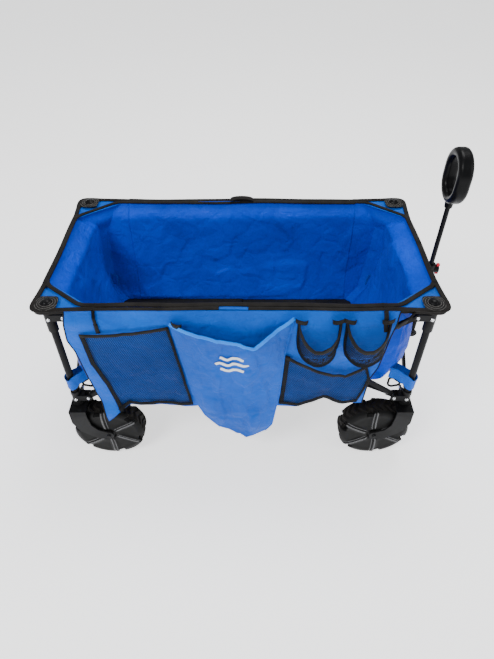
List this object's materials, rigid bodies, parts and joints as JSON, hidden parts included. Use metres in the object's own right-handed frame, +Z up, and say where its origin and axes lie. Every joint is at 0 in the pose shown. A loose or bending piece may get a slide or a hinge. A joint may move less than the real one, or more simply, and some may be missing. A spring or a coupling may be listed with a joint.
{
  "type": "beach cart",
  "caption": "Folding four-wheel beach cart with a crossed-bar frame, fabric tub with outside pockets, caster front wheels and a telescoping pull handle.",
  "frame": {"origin": "on the ground under the middle of the cart's box", "axes": "+X toward the pull handle, +Y to the cart's left as it is pulled, the side away from the pockets, +Z up"},
  "size_m": [1.0607, 0.6031, 0.865],
  "materials": {
    "frame_tube": "satin black powder coat on flat-oval steel tube",
    "bracket": "moulded black nylon with a fine matt grain",
    "rivet": "bright nickel-plated steel",
    "fork": "moulded black nylon, satin",
    "wheel": "black moulded wheel with a soft tread",
    "pole": "satin black steel tube",
    "grip": "semi-gloss black moulded grip",
    "button": "red moulded button",
    "tub_fabric": "bright blue woven polyester",
    "floor_fabric": "black woven polyester",
    "panel_fabric": "bright blue woven polyester",
    "mesh_fabric": "black knitted mesh"
  },
  "bodies": {
    "lower_rr": {"lower_bracket_rr": "bracket", "inner_post_rr": "frame_tube", "lower_rivets_rr": "rivet", "fork_rr": "fork"},
    "upper_rr": {"upper_bracket_rr": "bracket", "outer_post_rr": "frame_tube", "upper_rivets_rr": "rivet", "tub_walls": "tub_fabric", "tub_floor": "floor_fabric", "side_panel": "panel_fabric", "drop_pocket": "panel_fabric", "cup_holders": "mesh_fabric", "mesh_pockets": "mesh_fabric"},
    "floor_rr": {"floor_bar_rr": "frame_tube"},
    "wheel_rr": {"wheel_rr": "wheel"},
    "lower_fr": {"lower_bracket_fr": "bracket", "inner_post_fr": "frame_tube", "lower_rivets_fr": "rivet"},
    "upper_fr": {"upper_bracket_fr": "bracket", "outer_post_fr": "frame_tube", "upper_rivets_fr": "rivet"},
    "floor_fr": {"floor_bar_fr": "frame_tube"},
    "wheel_fr": {"wheel_fr": "wheel"},
    "lower_rl": {"lower_bracket_rl": "bracket", "inner_post_rl": "frame_tube", "lower_rivets_rl": "rivet", "fork_rl": "fork"},
    "upper_rl": {"upper_bracket_rl": "bracket", "outer_post_rl": "frame_tube", "upper_rivets_rl": "rivet"},
    "floor_rl": {"floor_bar_rl": "frame_tube"},
    "wheel_rl": {"wheel_rl": "wheel"},
    "lower_fl": {"lower_bracket_fl": "bracket", "inner_post_fl": "frame_tube", "lower_rivets_fl": "rivet"},
    "upper_fl": {"upper_bracket_fl": "bracket", "outer_post_fl": "frame_tube", "upper_rivets_fl": "rivet"},
    "floor_fl": {"floor_bar_fl": "frame_tube"},
    "wheel_fl": {"wheel_fl": "wheel"},
    "fork_fr": {"fork_fr": "fork"},
    "fork_fl": {"fork_fl": "fork"},
    "side_r_1": {"side_bar_r_1": "frame_tube"},
    "side_r_2": {"side_bar_r_2": "frame_tube"},
    "side_r_3": {"side_bar_r_3": "frame_tube"},
    "side_r_4": {"side_bar_r_4": "frame_tube"},
    "side_l_1": {"side_bar_l_1": "frame_tube"},
    "side_l_2": {"side_bar_l_2": "frame_tube"},
    "side_l_3": {"side_bar_l_3": "frame_tube"},
    "side_l_4": {"side_bar_l_4": "frame_tube"},
    "end_r_1": {"end_bar_r_1": "frame_tube"},
    "end_r_2": {"end_bar_r_2": "frame_tube"},
    "end_f_1": {"end_bar_f_1": "frame_tube"},
    "end_f_2": {"end_bar_f_2": "frame_tube"},
    "hanger": {"handle_hanger": "bracket"},
    "handle": {"handle_pole": "pole"},
    "rod": {"handle_rod": "pole", "hand_grip": "grip"},
    "lock_button": {"lock_button": "button"}
  },
  "joints": [
    {"name": "fold", "type": "hinge", "parent": "lower_rr", "child": "side_r_1", "pos_m": [-0.46535, -0.22995, 0.245], "axis": [0, -1, 0], "range_deg": [0, 39], "deforming": ["tub_walls", "tub_floor", "side_panel", "drop_pocket", "cup_holders", "mesh_pockets"]},
    {"name": "side_r_2_turn", "type": "hinge", "parent": "side_r_1", "child": "side_r_2", "pos_m": [-0.24835, -0.22995, 0.3975], "axis": [0, -1, 0], "range_deg": [-78.5, 0]},
    {"name": "upper_rr_level", "type": "hinge", "parent": "side_r_2", "child": "upper_rr", "pos_m": [-0.46535, -0.22995, 0.55], "axis": [0, -1, 0], "range_deg": [0, 39.5]},
    {"name": "side_r_3_turn", "type": "hinge", "parent": "side_r_1", "child": "side_r_3", "pos_m": [-0.03135, -0.22995, 0.55], "axis": [0, -1, 0], "range_deg": [-78.5, 0]},
    {"name": "lower_fr_level", "type": "hinge", "parent": "side_r_3", "child": "lower_fr", "pos_m": [0.40265, -0.22995, 0.245], "axis": [0, -1, 0], "range_deg": [0, 39.5]},
    {"name": "side_r_4_turn", "type": "hinge", "parent": "side_r_3", "child": "side_r_4", "pos_m": [0.18565, -0.22995, 0.3975], "axis": [0, -1, 0], "range_deg": [0, 78.5]},
    {"name": "upper_fr_level", "type": "hinge", "parent": "side_r_4", "child": "upper_fr", "pos_m": [0.40265, -0.22995, 0.55], "axis": [0, -1, 0], "range_deg": [-39.5, 0]},
    {"name": "end_r_1_turn", "type": "hinge", "parent": "lower_rr", "child": "end_r_1", "pos_m": [-0.50135, -0.20295, 0.245], "axis": [1, 0, 0], "range_deg": [0, 39.5]},
    {"name": "end_r_2_turn", "type": "hinge", "parent": "end_r_1", "child": "end_r_2", "pos_m": [-0.50135, 0.01405, 0.3975], "axis": [1, 0, 0], "range_deg": [-78.5, 0]},
    {"name": "upper_rl_level", "type": "hinge", "parent": "end_r_1", "child": "upper_rl", "pos_m": [-0.50135, 0.23105, 0.55], "axis": [1, 0, 0], "range_deg": [-39.5, 0]},
    {"name": "lower_rl_level", "type": "hinge", "parent": "end_r_2", "child": "lower_rl", "pos_m": [-0.50135, 0.23105, 0.245], "axis": [1, 0, 0], "range_deg": [0, 39.5]},
    {"name": "side_l_1_turn", "type": "hinge", "parent": "lower_rl", "child": "side_l_1", "pos_m": [-0.46535, 0.25805, 0.245], "axis": [0, -1, 0], "range_deg": [0, 39.5]},
    {"name": "side_l_2_turn", "type": "hinge", "parent": "side_l_1", "child": "side_l_2", "pos_m": [-0.24835, 0.25805, 0.3975], "axis": [0, -1, 0], "range_deg": [-78.5, 0]},
    {"name": "side_l_3_turn", "type": "hinge", "parent": "side_l_1", "child": "side_l_3", "pos_m": [-0.03135, 0.25805, 0.55], "axis": [0, -1, 0], "range_deg": [-78.5, 0]},
    {"name": "lower_fl_level", "type": "hinge", "parent": "side_l_3", "child": "lower_fl", "pos_m": [0.40265, 0.25805, 0.245], "axis": [0, -1, 0], "range_deg": [0, 39.5]},
    {"name": "side_l_4_turn", "type": "hinge", "parent": "side_l_3", "child": "side_l_4", "pos_m": [0.18565, 0.25805, 0.3975], "axis": [0, -1, 0], "range_deg": [0, 78.5]},
    {"name": "upper_fl_level", "type": "hinge", "parent": "side_l_4", "child": "upper_fl", "pos_m": [0.40265, 0.25805, 0.55], "axis": [0, -1, 0], "range_deg": [-39.5, 0]},
    {"name": "end_f_1_turn", "type": "hinge", "parent": "lower_fr", "child": "end_f_1", "pos_m": [0.43865, -0.20295, 0.245], "axis": [1, 0, 0], "range_deg": [0, 39.5]},
    {"name": "end_f_2_turn", "type": "hinge", "parent": "end_f_1", "child": "end_f_2", "pos_m": [0.43865, 0.01405, 0.3975], "axis": [1, 0, 0], "range_deg": [-78.5, 0]},
    {"name": "hanger_level", "type": "hinge", "parent": "end_f_1", "child": "hanger", "pos_m": [0.43865, 0.01405, 0.3975], "axis": [1, 0, 0], "range_deg": [-39.5, 0]},
    {"name": "floor_rr_lift", "type": "hinge", "parent": "lower_rr", "child": "floor_rr", "pos_m": [-0.4552, -0.20599, 0.231], "axis": [0.4608, -0.8875, 0], "range_deg": [0, 88.25]},
    {"name": "floor_fr_lift", "type": "hinge", "parent": "lower_fr", "child": "floor_fr", "pos_m": [0.3925, -0.20599, 0.231], "axis": [0.4608, 0.8875, 0], "range_deg": [0, 88.25]},
    {"name": "floor_rl_lift", "type": "hinge", "parent": "lower_rl", "child": "floor_rl", "pos_m": [-0.4552, 0.23409, 0.231], "axis": [-0.4608, -0.8875, 0], "range_deg": [0, 88.25]},
    {"name": "floor_fl_lift", "type": "hinge", "parent": "lower_fl", "child": "floor_fl", "pos_m": [0.3925, 0.23409, 0.231], "axis": [-0.4608, 0.8875, 0], "range_deg": [0, 88.25]},
    {"name": "caster_fr", "type": "hinge", "parent": "lower_fr", "child": "fork_fr", "pos_m": [0.43865, -0.22995, 0.214], "axis": [0, 0, 1], "continuous": true},
    {"name": "wheel_fr_spin", "type": "hinge", "parent": "fork_fr", "child": "wheel_fr", "pos_m": [0.36465, -0.22995, 0.103], "axis": [0, 1, 0], "continuous": true},
    {"name": "caster_fl", "type": "hinge", "parent": "lower_fl", "child": "fork_fl", "pos_m": [0.43865, 0.25805, 0.214], "axis": [0, 0, 1], "continuous": true},
    {"name": "wheel_fl_spin", "type": "hinge", "parent": "fork_fl", "child": "wheel_fl", "pos_m": [0.36465, 0.25805, 0.103], "axis": [0, 1, 0], "continuous": true},
    {"name": "wheel_rr_spin", "type": "hinge", "parent": "lower_rr", "child": "wheel_rr", "pos_m": [-0.42735, -0.22995, 0.103], "axis": [0, 1, 0], "continuous": true},
    {"name": "wheel_rl_spin", "type": "hinge", "parent": "lower_rl", "child": "wheel_rl", "pos_m": [-0.42735, 0.25805, 0.103], "axis": [0, 1, 0], "continuous": true},
    {"name": "handle_pivot", "type": "hinge", "parent": "hanger", "child": "handle", "pos_m": [0.50565, 0.01405, 0.27], "axis": [0, 1, 0], "range_deg": [0, 80]},
    {"name": "handle_extend", "type": "slide", "parent": "handle", "child": "rod", "axis": [0, 0, 1], "range_m": [-0.09, 0.07]},
    {"name": "lock_button_press", "type": "slide", "parent": "handle", "child": "lock_button", "axis": [-1, 0, 0], "range_m": [0, 0.003], "stiffness_N_per_m": 250, "springref_m": -0.001}
  ],
  "couplings": [
    {"joint": "side_r_2_turn", "follows": "fold", "ratio": -2},
    {"joint": "upper_rr_level", "follows": "fold", "ratio": 1},
    {"joint": "side_r_3_turn", "follows": "fold", "ratio": -2},
    {"joint": "lower_fr_level", "follows": "fold", "ratio": 1},
    {"joint": "side_r_4_turn", "follows": "fold", "ratio": 2},
    {"joint": "upper_fr_level", "follows": "fold", "ratio": -1},
    {"joint": "end_r_1_turn", "follows": "fold", "ratio": 1},
    {"joint": "end_r_2_turn", "follows": "fold", "ratio": -2},
    {"joint": "upper_rl_level", "follows": "fold", "ratio": -1},
    {"joint": "lower_rl_level", "follows": "fold", "ratio": 1},
    {"joint": "side_l_1_turn", "follows": "fold", "ratio": 1},
    {"joint": "side_l_2_turn", "follows": "fold", "ratio": -2},
    {"joint": "side_l_3_turn", "follows": "fold", "ratio": -2},
    {"joint": "lower_fl_level", "follows": "fold", "ratio": 1},
    {"joint": "side_l_4_turn", "follows": "fold", "ratio": 2},
    {"joint": "upper_fl_level", "follows": "fold", "ratio": -1},
    {"joint": "end_f_1_turn", "follows": "fold", "ratio": 1},
    {"joint": "end_f_2_turn", "follows": "fold", "ratio": -2},
    {"joint": "hanger_level", "follows": "fold", "ratio": -1},
    {"joint": "floor_rr_lift", "follows": "fold", "ratio": 2.25},
    {"joint": "floor_fr_lift", "follows": "fold", "ratio": 2.25},
    {"joint": "floor_rl_lift", "follows": "fold", "ratio": 2.25},
    {"joint": "floor_fl_lift", "follows": "fold", "ratio": 2.25}
  ]
}
